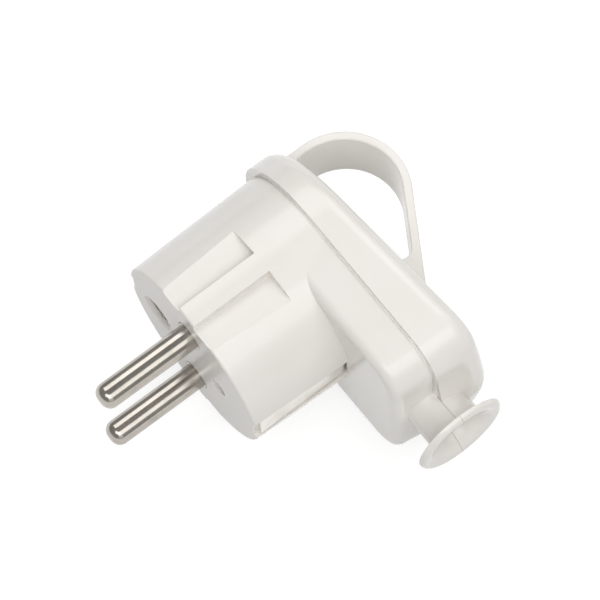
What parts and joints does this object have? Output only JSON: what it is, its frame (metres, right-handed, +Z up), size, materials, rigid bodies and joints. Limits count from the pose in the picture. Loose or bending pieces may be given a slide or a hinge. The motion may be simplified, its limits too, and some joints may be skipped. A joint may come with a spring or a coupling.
{
  "type": "angled mains plug",
  "caption": "Angled earthed mains plug: round body with round contact pins, flat arm, belled cord mouth at the side and a pull loop on its rear cover.",
  "frame": {"origin": "under the middle of the plug's box, on the surface that the plug lies on", "axes": "+X along the cord out of the cord mouth, +Y from the contact pins towards the pull loop, +Z up; the plug lies on its side on the cover's edge and on the rib beside the face, which tips its pin axis by about three degrees"},
  "size_m": [0.0612, 0.0692, 0.0393],
  "materials": {
    "housing_plastic": "glossy warm white moulding",
    "cover_plastic": "glossy warm white moulding",
    "pin_metal": "nickel plated, satin",
    "earth_metal": "nickel plated strip, satin",
    "screw_steel": "zinc plated",
    "insert_brass": "turned",
    "clamp_plastic": "matt moulding"
  },
  "bodies": {
    "root": {"front_housing": "housing_plastic", "rear_cover": "cover_plastic", "line_pin": "pin_metal", "neutral_pin": "pin_metal", "terminal_screws": "screw_steel", "earth_bracket": "earth_metal", "earth_sleeve": "earth_metal", "earth_washer": "screw_steel", "earth_screw": "screw_steel", "housing_insert": "insert_brass", "housing_screw": "screw_steel", "cord_clamp": "clamp_plastic", "cord_clamp_screws": "screw_steel"}
  },
  "joints": []
}
